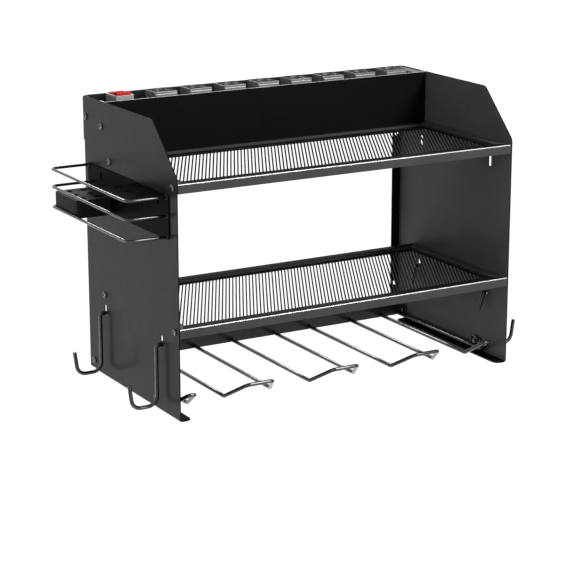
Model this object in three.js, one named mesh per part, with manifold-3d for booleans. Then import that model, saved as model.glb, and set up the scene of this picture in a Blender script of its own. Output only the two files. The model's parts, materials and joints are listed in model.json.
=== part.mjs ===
// Wall mounted power tool organizer: folded sheet steel sides, two slotted shelves,
// a power strip in a channel along the top, a wire drill rack, J hooks and a side caddy.
// Millimetres, +Z up. The wall is the plane y = 0 and the object stands in front of it (-y).
// Heights below are counted from the lower edge of the side panels.

import * as THREE from "three";
import { mergeVertices } from "three/addons/utils/BufferGeometryUtils.js";
import Module from "manifold-3d";

const wasm = await Module();
wasm.setup();

// Overall frame
const width = 430;
const depth = 230;
const height = 320;
const sheet = 1.2;
const bend = 1.3;
const seat = 0.25;
const overrun = 6;

// Side panels, cut away at the upper front corner
const slopeRise = 54;
const slopeRun = 54.5;
const panelRound = 3;
const slopeRound = 8;
const bottomFlange = 15;
const bottomFlangeRound = 6;
const rearFlange = 13;
const bendRelief = 3.5;

// Shelves
const topShelfDrop = 60;
const middleShelfHeight = 103;
const middleShelfWallGap = 35;
const rimFront = 14;
const rimSide = 13;
const rimRear = 13;
const lipHeight = 10.5;
const lipRound = 2;
const meshDrop = 3.5;
const innerLip = 6;
const meshTurn = THREE.MathUtils.degToRad(28.6);
const meshPitch = 3.85;
const meshSlot = 2.2;
const meshThickness = 1.6;
const meshBorder = 2.4;
const shortestSlotShare = 0.06;

// Hanging slots in the side panels, placed from the shelves
const slotWidth = 5;
const slotHeight = 12.6;
const slotRound = 1;
const frontSlotSetback = 41;
const rearSlotWallGap = 47;
const upperSlotDrop = 26;
const lowerSlotDrop = 22.8;

// Back plate and wall rail, which together form the channel of the power strip
const channelDepth = 55;
const channelHeight = 50;
const backPlateLap = 10;
const earLength = 13;
const railFrontFold = 8;

// Wall screws through the rear flanges
const wallHole = 5.5;
const wallHoleInset = 7.2;
const wallHoleDrop = 34;
const lowerWallHoleHeight = 44;

// Power strip
const stripDrop = 14;
const stripEdgeRound = 2.5;
const stripGap = 0.9;
const outletCount = 8;
const firstOutlet = 87.8;
const lastOutletInset = 31.4;
const outletSide = 28;
const outletBehindPlate = 18.7;
const outletRise = 15.8;
const outletRound = 1.5;
const outletSink = 5;
const outletLedge = 1.2;
const outletLedgeDrop = 2.7;
const bladeSlotLength = 7.6;
const bladeSlotWidth = 1.9;
const bladeSpacing = 12.7;
const bladeForward = 2.6;
const groundRadius = 2.6;
const groundBack = 8.6;
const socketDepth = 9;
const endBlockGap = 1.3;
const endBlockInset = 2.4;
const endBlockTopDrop = 0.6;
const endBlockFootDrop = 17.5;

// Rocker switch
const switchAcross = 35.7;
const bezelWidth = 23;
const bezelLength = 28;
const bezelRound = 2;
const bezelSink = 4;
const rockerWidth = 18;
const rockerRadius = 11.6;
const rockerPivotDrop = 1.8;
const rockerHalfThickness = 4.6;
const rockerDip = 2.4;
const rockerPlay = 0.4;
const rockerTilt = THREE.MathUtils.degToRad(-8);

// Cord gland, through the right side panel
const glandNeck = 6.5;
const glandPlay = 0.5;
const glandCollar = 9.5;
const glandCollarThickness = 2;
const glandStand = 4;
const glandBore = 3.9;
const glandRise = 19;
const glandBehindPlate = 27;
const glandEdge = 0.8;

// Wire drill rack
const wire = 4.5;
const rackHeight = 5.5;
const rackFrontSetback = 41;
const rackBarSetback = 12;
const rackBarHeight = 24;
const rackPitch = 110;
const rackLoopWidth = 59;
const rackBarWidth = 32;
const rackEndOuter = 5.6;
const rackEndInner = 30;
const rackEndBarOuter = 16.6;
const rackEndBarInner = 24.6;
const rackBendRadius = 5;
const rackBarBendRadius = 5.5;
const rackEndBendRadius = 3.6;
const rackTabLength = 18;
const rackTabThickness = 2.2;
const rackTabTop = 17.5;
const rackTabRound = 3;
const rackScrewBehindBend = 16;
const rackScrewHeight = 12;
const lowerRailTop = 17.5;
const lowerRailLow = 2;
const lowerRailEar = 20;

// J hooks, which hang in the lower slots
const hookLegOut = 6.7;
const hookDrop = 71.4;
const hookReach = 36;
const hookTipOut = 40;
const hookTipRise = 27.2;
const hookBendRadius = 11;
const hookNeckRadius = 3.5;
const hookTailIn = 3.4;
const hookTailSplay = 7.4;
const hookTailDrop = 22;
const hookPlay = 0.45;

// Side caddy, which hangs in the upper slots of the left panel
const caddyWire = 3.2;
const caddyReach = 48;
const caddyFront = 20;
const caddyWallGap = 15;
const caddyWireRises = [9.5, -10.5, -33.5];
const caddyBendRadius = 7;
const caddyPlateMargin = 3;
const caddyPlateDrop = 37;
const caddyPlateRise = 11.6;
const caddyPlateRound = 4;
const tabWidth = 4.2;
const tabNeck = 4;
const tabDrop = 5.2;
const tabThickness = 1.4;
const caddyTopLength = 78;
const driverHole = 13;
const driverHoleOut = 24;
const driverHoleInset = 15;
const driverHolePitch = 25;
const driverHoleCount = 3;
const bitBlockLength = 63;
const bitBlockHeight = 20;
const bitBlockBelowWire = 2.5;
const bitHole = 9;
const bitHoleDepth = 15;
const bitHoleColumns = 3;
const bitHoleRows = 2;
const bitHolePitch = 19;

// Screws with their nuts
const screwRadius = 1.9;
const screwPlay = 0.35;
const screwHeadRadius = 4;
const screwHeadHeight = 2.4;
const nutRadius = 3.2;
const nutThickness = 2.4;
const screwTip = 1.2;
const headCrownShare = 0.72;
const headShoulderShare = 0.78;
const nutSides = 6;
const shelfScrewSetback = 9;
const shelfScrewDrop = 4.7;
const shelfScrewRearInset = 12;
const backPlateScrewRise = 22;
const channelScrewInset = 7;
const wallRailScrewRise = 27;
const lowerRailScrewInset = 14;

// Faceting
const bendSteps = 2;
const wireBendSteps = 4;
const wireSides = 8;
const holeSides = 12;
const screwSides = 8;

// Places that follow from the sizes above
const fold = sheet + bend;
const halfWidth = width / 2;
const insideHalf = halfWidth - sheet;
const shelfHalf = insideHalf - seat;
const front = -depth;
const frontHeight = height - slopeRise;
const topShelfHeight = height - topShelfDrop;
const middleShelfDepth = depth - middleShelfWallGap;
const slotSetbacks = [frontSlotSetback, depth - rearSlotWallGap];
const upperSlotHeight = topShelfHeight - upperSlotDrop;
const lowerSlotHeight = middleShelfHeight - lowerSlotDrop;
const backPlateSetback = depth - channelDepth;
const backPlateFace = -channelDepth;
const backPlateLow = topShelfHeight - backPlateLap;
const railLow = height - channelHeight;
const wallHoleHeights = [railLow - wallHoleDrop, lowerWallHoleHeight];
const stripTop = height - stripDrop;
const outletTop = stripTop + outletRise;
const outletPitch = (width - firstOutlet - lastOutletInset) / (outletCount - 1);
const outletY = backPlateFace + outletBehindPlate + outletSide / 2;
const switchX = switchAcross - halfWidth;
const switchY = outletY;
const bezelTop = outletTop;
const rockerPivotHeight = bezelTop - rockerPivotDrop;
const glandY = backPlateFace + glandBehindPlate;
const glandHeight = railLow + glandRise;
const rackScrewSetback = rackFrontSetback + rackScrewBehindBend;
const hookBottom = lowerSlotHeight - hookDrop;
const hookTipHeight = hookBottom + hookTipRise;
const caddyRear = depth - caddyWallGap;
const caddyWireHeights = caddyWireRises.map((rise) => upperSlotHeight + rise);
const caddyPlateOuter = -halfWidth - seat - sheet;
const caddyInnerRound = caddyBendRadius - caddyWire / 2;
const bitBlockLow = caddyWireHeights.at(-1) - bitBlockBelowWire;
const bitBlockTop = bitBlockLow + bitBlockHeight;
const backPlateScrewHeight = railLow + backPlateScrewRise;
const wallRailScrewHeight = railLow + wallRailScrewRise;

// The origin lies on the wall rail's rear face, halfway up the rail.
const mountHeight = (railLow + height) / 2;

function finish(color, roughness, metalness) {
  return () => new THREE.MeshStandardMaterial({ color, roughness, metalness });
}

const powderCoat = finish(0x1d1e20, 0.42, 0.35);
const glossWire = finish(0x141416, 0.22, 0.5);
const blackPlastic = finish(0x17181a, 0.35, 0);
const greyPlastic = finish(0x3c3e41, 0.4, 0);
const redPlastic = finish(0xc8141c, 0.25, 0);
const paleMetal = finish(0x9a9ca0, 0.35, 0.6);
const blackScrew = finish(0x26272a, 0.3, 0.7);

/** A closed three.js geometry as a solid that can be joined and cut. */
function solid(geometry) {
  const bare = geometry.clone();
  bare.deleteAttribute("normal");
  bare.deleteAttribute("uv");
  const merged = mergeVertices(bare);
  const vertProperties = Float32Array.from(merged.attributes.position.array);
  const triVerts = Uint32Array.from(merged.index.array);
  return new wasm.Manifold(new wasm.Mesh({ numProp: 3, vertProperties, triVerts }));
}

/** A named mesh of one solid with a material of its own. */
function piece(name, body, material) {
  const mesh = body.getMesh();
  const geometry = new THREE.BufferGeometry();
  geometry.setAttribute("position", new THREE.BufferAttribute(Float32Array.from(mesh.vertProperties), 3));
  geometry.setIndex(Array.from(mesh.triVerts));
  geometry.computeVertexNormals();
  const result = new THREE.Mesh(geometry, material());
  result.name = name;
  return result;
}

/** The arc that rounds one corner of a run of points. */
function roundedCorner(before, corner, after, radius, steps) {
  if (radius === 0) return [corner.clone()];
  const back = before.clone().sub(corner).normalize();
  const ahead = after.clone().sub(corner).normalize();
  const halfAngle = back.angleTo(ahead) / 2;
  const centre = back.clone().add(ahead).normalize();
  centre.multiplyScalar(radius / Math.sin(halfAngle)).add(corner);
  const tangent = radius / Math.tan(halfAngle);
  const first = back.multiplyScalar(tangent).add(corner).sub(centre);
  const last = ahead.multiplyScalar(tangent).add(corner).sub(centre);
  const axis = first.clone().cross(last).normalize();
  const turn = first.angleTo(last);
  const points = [];
  for (let step = 0; step <= steps; step += 1) {
    points.push(first.clone().applyAxisAngle(axis, (turn * step) / steps).add(centre));
  }
  return points;
}

/** A closed outline from corners [x, y, radius], with the radius left out on a sharp corner. */
function outline(corners) {
  const places = corners.map(([x, y]) => new THREE.Vector3(x, y, 0));
  const points = corners.flatMap(([, , radius = 0], index) => {
    const before = places.at(index - 1);
    const after = places[(index + 1) % places.length];
    return roundedCorner(before, places[index], after, radius, bendSteps);
  });
  return new THREE.Shape(points.map((point) => new THREE.Vector2(point.x, point.y)));
}

function rectangle(x0, x1, y0, y1, radius = 0) {
  return outline([[x0, y0, radius], [x1, y0, radius], [x1, y1, radius], [x0, y1, radius]]);
}

function disc(x, y, radius, sides = holeSides) {
  const points = [];
  for (let side = 0; side < sides; side += 1) {
    const angle = (2 * Math.PI * (side + 1 / 2)) / sides;
    points.push(new THREE.Vector2(x + radius * Math.cos(angle), y + radius * Math.sin(angle)));
  }
  return new THREE.Shape(points);
}

function prism(shape, low, high, basis) {
  const geometry = new THREE.ExtrudeGeometry(shape, { depth: high - low, bevelEnabled: false });
  geometry.translate(0, 0, low);
  geometry.applyMatrix4(basis);
  return solid(geometry);
}

/** A flat plate of the given outline, with its holes cut right through. */
function slab(shape, low, high, basis) {
  const body = prism(new THREE.Shape(shape.getPoints()), low, high, basis);
  const cutters = shape.holes.map((hole) => prism(hole, low - overrun, high + overrun, basis));
  return cutters.reduce((rest, cutter) => rest.subtract(cutter), body);
}

const sideways = new THREE.Matrix4().makeBasis(
  new THREE.Vector3(0, 1, 0), new THREE.Vector3(0, 0, 1), new THREE.Vector3(1, 0, 0));
const forwards = new THREE.Matrix4().makeBasis(
  new THREE.Vector3(1, 0, 0), new THREE.Vector3(0, 0, 1), new THREE.Vector3(0, -1, 0));
const upright = new THREE.Matrix4();

/** An outline in (y, z) between two values of x. */
function alongX(shape, start, end) {
  return slab(shape, Math.min(start, end), Math.max(start, end), sideways);
}

/** An outline in (x, z) between two values of y. */
function alongY(shape, start, end) {
  return slab(shape, -Math.max(start, end), -Math.min(start, end), forwards);
}

/** An outline in (x, y) between two values of z. */
function alongZ(shape, start, end) {
  return slab(shape, start, end, upright);
}

/** Section of a folded strip: two legs of sheet that meet in a round bend at the corner. */
function foldSection([x, y], firstWay, firstLength, secondWay, secondLength) {
  const at = (first, second, radius = 0) => [
    x + firstWay[0] * first + secondWay[0] * second,
    y + firstWay[1] * first + secondWay[1] * second,
    radius,
  ];
  return outline([
    at(firstLength, 0), at(0, 0, sheet + bend), at(0, secondLength),
    at(sheet, secondLength), at(sheet, sheet, bend), at(firstLength, sheet),
  ]);
}

/** Centre line of a bent wire, sampled only where it bends. */
class BentWire extends THREE.Curve {
  constructor(points) {
    super();
    this.points = points;
  }

  getPointAt(share) {
    const place = share * (this.points.length - 1);
    const index = Math.min(Math.floor(place), this.points.length - 2);
    return this.points[index].clone().lerp(this.points[index + 1], place - index);
  }

  getTangentAt(share) {
    const index = Math.round(share * (this.points.length - 1));
    const before = this.points[Math.max(index - 1, 0)];
    const here = this.points[index];
    const after = this.points[Math.min(index + 1, this.points.length - 1)];
    const arriving = here.clone().sub(before).normalize();
    const leaving = after.clone().sub(here).normalize();
    return arriving.add(leaving).normalize();
  }
}

/** A round wire through corners [x, y, z, bend radius]. */
function bentWire(corners, diameter) {
  const places = corners.map(([x, y, z]) => new THREE.Vector3(x, y, z));
  const points = corners.flatMap(([, , , radius = 0], index) => {
    if (index === 0 || index === corners.length - 1) return [places[index]];
    return roundedCorner(places[index - 1], places[index], places[index + 1], radius, wireBendSteps);
  });
  const path = new BentWire(points);
  const section = disc(0, 0, diameter / 2, wireSides);
  const settings = { steps: points.length - 1, extrudePath: path, bevelEnabled: false };
  return solid(new THREE.ExtrudeGeometry(section, settings));
}

/** The outline of both side panels in (y, z), with its slots and screw holes. */
function panelOutline() {
  const slopeTop = front + slopeRun;
  const shape = outline([
    [front, fold], [-fold, fold], [-fold, railLow - seat], [0, railLow - seat],
    [0, height, panelRound], [slopeTop, height, slopeRound], [front, frontHeight, slopeRound],
  ]);
  for (const middle of [lowerSlotHeight, upperSlotHeight]) {
    for (const setback of slotSetbacks) {
      const y = setback - depth;
      const low = middle - slotHeight / 2;
      shape.holes.push(rectangle(y - slotWidth / 2, y + slotWidth / 2, low, low + slotHeight, slotRound));
    }
  }
  for (const [y, z] of panelScrewPlaces()) shape.holes.push(screwHole(y, z));
  return shape;
}

function screwHole(y, z) {
  return disc(y, z, screwRadius + screwPlay, screwSides);
}

/** Where screws pass through each side panel, as [y, z]. */
function panelScrewPlaces() {
  return [
    ...shelfScrewPlaces(topShelfHeight, backPlateSetback),
    ...shelfScrewPlaces(middleShelfHeight, middleShelfDepth),
    [backPlateFace + channelScrewInset, backPlateScrewHeight],
    [-channelScrewInset, wallRailScrewHeight],
    [rackScrewSetback - depth, rackScrewHeight],
    [-lowerRailScrewInset, rackScrewHeight],
  ];
}

function shelfScrewPlaces(top, rearSetback) {
  const z = top - shelfScrewDrop;
  return [[shelfScrewSetback - depth, z], [rearSetback - shelfScrewRearInset - depth, z]];
}

/** A side panel: flat web, floor flange and wall flange folded inwards. side is -1 left, +1 right. */
function sidePanel(side) {
  const outer = side * halfWidth;
  const inward = [-side, 0];
  const stretch = fold + bend;
  const web = alongX(panelOutline(), outer, outer - side * sheet);
  const floorFold = alongY(
    foldSection([outer, 0], inward, bottomFlange, [0, 1], stretch), front, -rearFlange - bendRelief);
  const flangeIn = outer - side * bottomFlange;
  const floorPlan = alongZ(outline([
    [outer, front], [flangeIn, front, bottomFlangeRound],
    [flangeIn, -rearFlange - bendRelief, bottomFlangeRound], [outer, -rearFlange - bendRelief],
  ]), -overrun, stretch + overrun);
  const wallFold = alongZ(
    foldSection([outer, 0], inward, rearFlange, [0, -1], stretch),
    bendRelief, railLow - seat);
  const body = web.add(floorFold.intersect(floorPlan)).add(wallFold);
  return body.subtract(panelBores(side));
}

/** Wall screw holes through the rear flange, and the gland's hole in the right panel. */
function panelBores(side) {
  const x = side * (halfWidth - wallHoleInset);
  const [upper, lower] = wallHoleHeights.map((z) => alongY(disc(x, z, wallHole / 2), overrun, -overrun));
  const bores = upper.add(lower);
  if (side < 0) return bores;
  const glandHole = disc(glandY, glandHeight, glandNeck + glandPlay);
  return bores.add(alongX(glandHole, insideHalf - overrun, halfWidth + overrun));
}

/** A block whose upper edges are rounded on all four sides. */
function softTopBlock(half, yLow, yHigh, zLow, zHigh, radius) {
  const across = alongY(outline([
    [-half, zLow], [half, zLow], [half, zHigh, radius], [-half, zHigh, radius],
  ]), yLow, yHigh);
  const along = alongX(outline([
    [yLow, zLow], [yHigh, zLow], [yHigh, zHigh, radius], [yLow, zHigh, radius],
  ]), -half, half);
  return across.intersect(along);
}

/** Edges of a shelf's slotted field in y, from the shelf's rear setback. */
function shelfField(rearSetback) {
  const rear = rearSetback - depth - seat;
  return { half: shelfHalf - rimSide, low: front + rimFront, high: rear - rimRear, rear };
}

/** A folded tray frame: rim, outer lip all round, and an inner lip that carries the mesh. */
function shelfFrame(top, rearSetback) {
  const field = shelfField(rearSetback);
  const low = top - lipHeight;
  const outer = softTopBlock(shelfHalf, front, field.rear, low, top, lipRound);
  const hollow = softTopBlock(
    shelfHalf - sheet, front + sheet, field.rear - sheet, low - overrun, top - sheet, lipRound - sheet);
  const collar = alongZ(
    rectangle(-field.half - sheet, field.half + sheet, field.low - sheet, field.high + sheet),
    top - innerLip, top - sheet / 2);
  const window = alongZ(
    rectangle(-field.half, field.half, field.low, field.high), low - overrun, top + overrun);
  const holes = shelfScrewPlaces(top, rearSetback).map(([y, z]) => (
    alongX(screwHole(y, z), -halfWidth - overrun, halfWidth + overrun)));
  return outer.subtract(hollow).add(collar).subtract(window).subtract(holes[0].add(holes[1]));
}

/** The slots between the bars of a shelf, which run slanting from the front to the rear right. */
function meshSlots(half, yLow, yHigh) {
  const lean = (yHigh - yLow) * Math.tan(meshTurn);
  const pitch = meshPitch / Math.cos(meshTurn);
  const reach = meshSlot / 2 / Math.cos(meshTurn);
  const count = Math.floor((2 * half + lean) / pitch);
  const slots = [];
  for (let index = 0; index < count; index += 1) {
    const middle = (index - (count - 1) / 2) * pitch;
    const frontX = middle - lean / 2;
    const rearX = middle + lean / 2;
    const shown = Math.min(rearX, half) - Math.max(frontX, -half);
    if (shown < lean * shortestSlotShare) continue;
    slots.push(outline([
      [frontX - reach, yLow], [frontX + reach, yLow], [rearX + reach, yHigh], [rearX - reach, yHigh],
    ]));
  }
  return slots;
}

/** The slotted field of a shelf: a plate with its slots cut out inside a plain border. */
function shelfMesh(top, rearSetback) {
  const field = shelfField(rearSetback);
  const half = field.half - seat;
  const yLow = field.low + seat;
  const yHigh = field.high - seat;
  const low = top - meshDrop - meshThickness;
  const plate = alongZ(rectangle(-half, half, yLow, yHigh), low, top - meshDrop);
  const innerHalf = half - meshBorder;
  const innerLow = yLow + meshBorder;
  const innerHigh = yHigh - meshBorder;
  const open = alongZ(rectangle(-innerHalf, innerHalf, innerLow, innerHigh), low - overrun, top);
  const slots = meshSlots(innerHalf, innerLow, innerHigh).map((slot) => alongZ(slot, low - overrun, top));
  return plate.subtract(wasm.Manifold.union(slots).intersect(open));
}

/** The upright plate behind the charger shelf, with an ear at each end. */
function backPlate() {
  const stretch = fold + bend;
  let body = alongY(
    rectangle(-shelfHalf + fold, shelfHalf - fold, backPlateLow, height),
    backPlateFace, backPlateFace + sheet);
  for (const side of [-1, 1]) {
    const ear = foldSection([side * shelfHalf, backPlateFace], [-side, 0], stretch, [0, 1], earLength);
    body = body.add(alongZ(ear, backPlateLow, height));
  }
  const hole = screwHole(backPlateFace + channelScrewInset, backPlateScrewHeight);
  return body.subtract(alongX(hole, -halfWidth, halfWidth));
}

/** The rail that closes the channel at the wall, with a floor under the power strip. */
function wallRail() {
  const stretch = fold + bend;
  const floorFront = backPlateFace + sheet + seat;
  const floorHalf = shelfHalf - earLength / 2;
  const wall = alongY(
    rectangle(-shelfHalf + fold, shelfHalf - fold, railLow + fold, height), 0, -sheet);
  const floorFold = alongX(
    foldSection([0, railLow], [-1, 0], -floorFront, [0, 1], stretch), -floorHalf, floorHalf);
  const frontFold = alongX(
    foldSection([floorFront, railLow + sheet], [1, 0], stretch, [0, -1], railFrontFold),
    -floorHalf, floorHalf);
  let body = wall.add(floorFold).add(frontFold);
  for (const side of [-1, 1]) {
    const ear = foldSection([side * shelfHalf, 0], [-side, 0], stretch, [0, -1], earLength);
    body = body.add(alongZ(ear, railLow + fold, height));
  }
  const hole = screwHole(-channelScrewInset, wallRailScrewHeight);
  return body.subtract(alongX(hole, -halfWidth, halfWidth));
}

/** Where the outlets stand along the strip, as x of each centre. */
function outletCentres() {
  return Array.from({ length: outletCount }, (_, index) => (
    firstOutlet - halfWidth + index * outletPitch));
}

/** The plain block beside the last outlet. */
function stripEndBlock(yLow, yHigh) {
  const section = outline([
    [yLow, height - endBlockFootDrop], [yHigh, height - endBlockFootDrop],
    [yHigh, height - endBlockTopDrop, stripEdgeRound], [yLow, height - endBlockTopDrop, stripEdgeRound],
  ]);
  const start = outletCentres().at(-1) + outletSide / 2 + endBlockGap;
  return alongX(section, start, shelfHalf - endBlockInset);
}

/** Housing of the power strip, with a pocket for each outlet and for the switch. */
function stripHousing() {
  const half = shelfHalf - earLength / 2 - stripGap;
  const yLow = backPlateFace + sheet + stripGap;
  const yHigh = -sheet - stripGap;
  const bar = softTopBlock(half, yLow, yHigh, railLow + sheet + seat, stripTop, stripEdgeRound);
  const body = bar.add(stripEndBlock(yLow, yHigh));
  const pockets = outletCentres().map((x) => alongZ(
    rectangle(...outletSpan(x, seat), outletRound), stripTop - outletSink, stripTop + overrun));
  const reach = bezelWidth / 2 + seat;
  const length = bezelLength / 2 + seat;
  pockets.push(alongZ(
    rectangle(switchX - reach, switchX + reach, switchY - length, switchY + length, bezelRound),
    stripTop - bezelSink, stripTop + overrun));
  return pockets.reduce((rest, pocket) => rest.subtract(pocket), body);
}

/** Footprint of an outlet, grown by a clearance: low x, high x, low y, high y. */
function outletSpan(x, clearance) {
  const reach = outletSide / 2 + clearance;
  return [x - reach, x + reach, outletY - reach, outletY + reach];
}

/** An outlet with two blade slots and an earth hole, and a ledge along its front. */
function outlet(x) {
  const [leftFace, rightFace, frontFace] = outletSpan(x, 0);
  const foot = stripTop - outletSink + seat;
  const block = alongZ(rectangle(...outletSpan(x, 0), outletRound), foot, outletTop);
  const step = alongZ(
    rectangle(leftFace - overrun, rightFace + overrun, frontFace - overrun, frontFace + outletLedge),
    outletTop - outletLedgeDrop, outletTop + overrun);
  const bladeY = outletY - bladeForward;
  const [left, right] = [-1, 1].map((side) => {
    const bladeX = x + (side * bladeSpacing) / 2;
    return rectangle(
      bladeX - bladeSlotWidth / 2, bladeX + bladeSlotWidth / 2,
      bladeY - bladeSlotLength / 2, bladeY + bladeSlotLength / 2);
  });
  const earth = disc(x, bladeY + groundBack, groundRadius);
  const sockets = [left, right, earth].map((shape) => (
    alongZ(shape, outletTop - socketDepth, outletTop + overrun)));
  return sockets.reduce((rest, socket) => rest.subtract(socket), block.subtract(step));
}

/** The switch's frame, open in the middle for the rocker. */
function switchBezel() {
  const ring = rectangle(
    switchX - bezelWidth / 2, switchX + bezelWidth / 2,
    switchY - bezelLength / 2, switchY + bezelLength / 2, bezelRound);
  const halfHole = rockerWidth / 2 + rockerPlay;
  const longHole = rockerRadius + rockerPlay;
  ring.holes.push(rectangle(
    switchX - halfHole, switchX + halfHole, switchY - longHole, switchY + longHole));
  return alongZ(ring, stripTop - bezelSink + seat, bezelTop);
}

/** The rocker: a bar with round ends and a hollow top, tipped to one side. */
function switchRocker() {
  const endAngle = Math.asin(rockerHalfThickness / rockerRadius);
  const points = [];
  for (const side of [1, -1]) {
    for (let step = 0; step <= wireBendSteps; step += 1) {
      const angle = side * endAngle * ((2 * step) / wireBendSteps - 1);
      const across = side * rockerRadius * Math.cos(angle);
      points.push(new THREE.Vector2(across, rockerRadius * Math.sin(angle)));
    }
    if (side > 0) points.push(new THREE.Vector2(0, rockerHalfThickness - rockerDip));
  }
  const shape = new THREE.Shape(points);
  const body = new THREE.ExtrudeGeometry(shape, { depth: rockerWidth, bevelEnabled: false });
  body.translate(0, 0, -rockerWidth / 2);
  body.applyMatrix4(sideways);
  body.rotateX(rockerTilt);
  return solid(body);
}

/** The solid of a profile [radius, height] turned about x, its height running along side. */
function turned(profile, sides, side) {
  const points = profile.map(([radius, along]) => new THREE.Vector2(radius, along));
  const geometry = new THREE.LatheGeometry(points, sides);
  geometry.rotateZ((-side * Math.PI) / 2);
  return solid(geometry);
}

/** The gland: a neck through the panel, a collar outside it and a bore for the cord. */
function cordGland() {
  const collarFoot = halfWidth + seat;
  const profile = [
    [glandBore, shelfHalf], [glandNeck, shelfHalf], [glandNeck, collarFoot], [glandCollar, collarFoot],
    [glandCollar, collarFoot + glandCollarThickness],
    [glandNeck, collarFoot + glandCollarThickness + glandEdge],
    [glandNeck - glandEdge, collarFoot + glandStand], [glandBore, collarFoot + glandStand],
    [glandBore, shelfHalf],
  ];
  return turned(profile, holeSides, 1).translate([0, glandY, glandHeight]);
}

/** A screw with its nut. It starts at the panel's outer face and grips what lies inside it. */
function screw(side, y, z, grip) {
  const profile = [
    [0, -screwHeadHeight], [screwHeadRadius * headCrownShare, -screwHeadHeight * headShoulderShare],
    [screwHeadRadius, -seat],
    [screwRadius, -seat], [screwRadius, grip + nutThickness + screwTip], [0, grip + nutThickness + screwTip],
  ];
  const body = turned(profile, screwSides, -side);
  const nut = alongX(disc(0, 0, nutRadius, nutSides), -side * (grip + seat), -side * (grip + nutThickness));
  return body.add(nut).translate([side * halfWidth, y, z]);
}

/** One hairpin of the drill rack, between rails at two values of x. */
function rackLoop(left, right, barLeft, barRight, barBend) {
  const rear = -2 * sheet - 2 * seat;
  const vee = rackFrontSetback - depth;
  const bar = rackBarSetback - depth;
  return bentWire([
    [left, rear, rackHeight],
    [left, vee, rackHeight, rackBendRadius],
    [barLeft, bar, rackBarHeight, barBend],
    [barRight, bar, rackBarHeight, barBend],
    [right, vee, rackHeight, rackBendRadius],
    [right, rear, rackHeight],
  ], wire);
}

/** A narrow hairpin beside a side panel, with the tab that is screwed to the panel. */
function rackEndLoop(side) {
  const at = (across) => side * (halfWidth - across);
  const hairpin = rackLoop(
    at(rackEndOuter), at(rackEndInner), at(rackEndBarOuter), at(rackEndBarInner), rackEndBendRadius);
  const y = rackScrewSetback - depth;
  const low = sheet + bend + seat;
  const tab = alongX(
    rectangle(y - rackTabLength / 2, y + rackTabLength / 2, low, rackTabTop, rackTabRound),
    side * shelfHalf, side * (shelfHalf - rackTabThickness));
  const hole = screwHole(y, rackScrewHeight);
  return hairpin.add(tab).subtract(alongX(hole, side * insideHalf, side * (insideHalf - overrun)));
}

/** The lower rail at the wall, to which the rack's wires are joined. */
function lowerRail() {
  const stretch = fold + bend;
  const rear = -sheet - seat;
  let body = alongY(
    rectangle(-shelfHalf + fold, shelfHalf - fold, lowerRailLow, lowerRailTop), rear, rear - sheet);
  for (const side of [-1, 1]) {
    const ear = foldSection([side * shelfHalf, rear], [-side, 0], stretch, [0, -1], lowerRailEar);
    body = body.add(alongZ(ear, lowerRailLow, lowerRailTop));
  }
  const hole = screwHole(-lowerRailScrewInset, rackScrewHeight);
  return body.subtract(alongX(hole, -halfWidth, halfWidth));
}

/** A J hook whose neck lies in a slot and whose tail leans away behind the panel. */
function hook(side, setback) {
  const y = setback - depth;
  const neck = lowerSlotHeight - slotHeight / 2 + wire / 2 + hookPlay;
  const at = (out, z, radius) => [side * (halfWidth + out), y, z, radius];
  const tailTop = -sheet - hookTailIn;
  return bentWire([
    at(tailTop - hookTailSplay, neck - hookTailDrop),
    at(tailTop, neck, hookNeckRadius),
    at(hookLegOut, neck, hookNeckRadius),
    at(hookLegOut, hookBottom, hookBendRadius),
    at(hookReach, hookBottom, hookBendRadius),
    at(hookTipOut, hookTipHeight),
  ], wire);
}

/** One wire of the caddy: out from the plate, along the side and back. */
function caddyLoop(z) {
  const start = caddyPlateOuter - seat;
  const outer = -halfWidth - caddyReach;
  return bentWire([
    [start, caddyFront - depth, z],
    [outer, caddyFront - depth, z, caddyBendRadius],
    [outer, caddyRear - depth, z, caddyBendRadius],
    [start, caddyRear - depth, z],
  ], caddyWire);
}

/** The caddy's back plate, with two lanced tabs that hang in the panel's upper slots. */
function caddyBackPlate() {
  const shape = rectangle(
    caddyFront - caddyPlateMargin - depth, caddyRear + caddyPlateMargin - depth,
    upperSlotHeight - caddyPlateDrop, upperSlotHeight + caddyPlateRise, caddyPlateRound);
  const slotLow = upperSlotHeight - slotHeight / 2;
  const neckLow = slotLow + seat;
  const neckTop = neckLow + tabNeck;
  for (const setback of slotSetbacks) {
    const y = setback - depth;
    shape.holes.push(rectangle(y - tabWidth / 2, y + tabWidth / 2, neckTop, slotLow + slotHeight));
  }
  let body = alongX(shape, caddyPlateOuter, caddyPlateOuter + sheet);
  const hookFace = -halfWidth + sheet + seat;
  for (const setback of slotSetbacks) {
    const y = setback - depth;
    const tab = alongY(outline([
      [caddyPlateOuter, neckLow], [hookFace, neckLow], [hookFace, slotLow - tabDrop],
      [hookFace + tabThickness, slotLow - tabDrop], [hookFace + tabThickness, neckTop],
      [caddyPlateOuter, neckTop],
    ]), y - tabWidth / 2, y + tabWidth / 2);
    body = body.add(tab);
  }
  return body;
}

/** The plate at the front of the caddy, drilled for screwdrivers. */
function caddyTopPlate() {
  const z = caddyWireHeights[0];
  const inner = caddyPlateOuter - seat;
  const outer = -halfWidth - caddyReach + caddyWire / 2 + seat;
  const frontEdge = caddyFront - depth + caddyWire / 2 + seat;
  const rearEdge = caddyFront + caddyTopLength - depth;
  const shape = outline([
    [inner, frontEdge], [outer, frontEdge, caddyInnerRound], [outer, rearEdge], [inner, rearEdge],
  ]);
  for (let index = 0; index < driverHoleCount; index += 1) {
    const y = caddyFront + driverHoleInset + index * driverHolePitch - depth;
    shape.holes.push(disc(-halfWidth - driverHoleOut, y, driverHole / 2));
  }
  return alongZ(shape, z - sheet / 2, z + sheet / 2);
}

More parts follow.
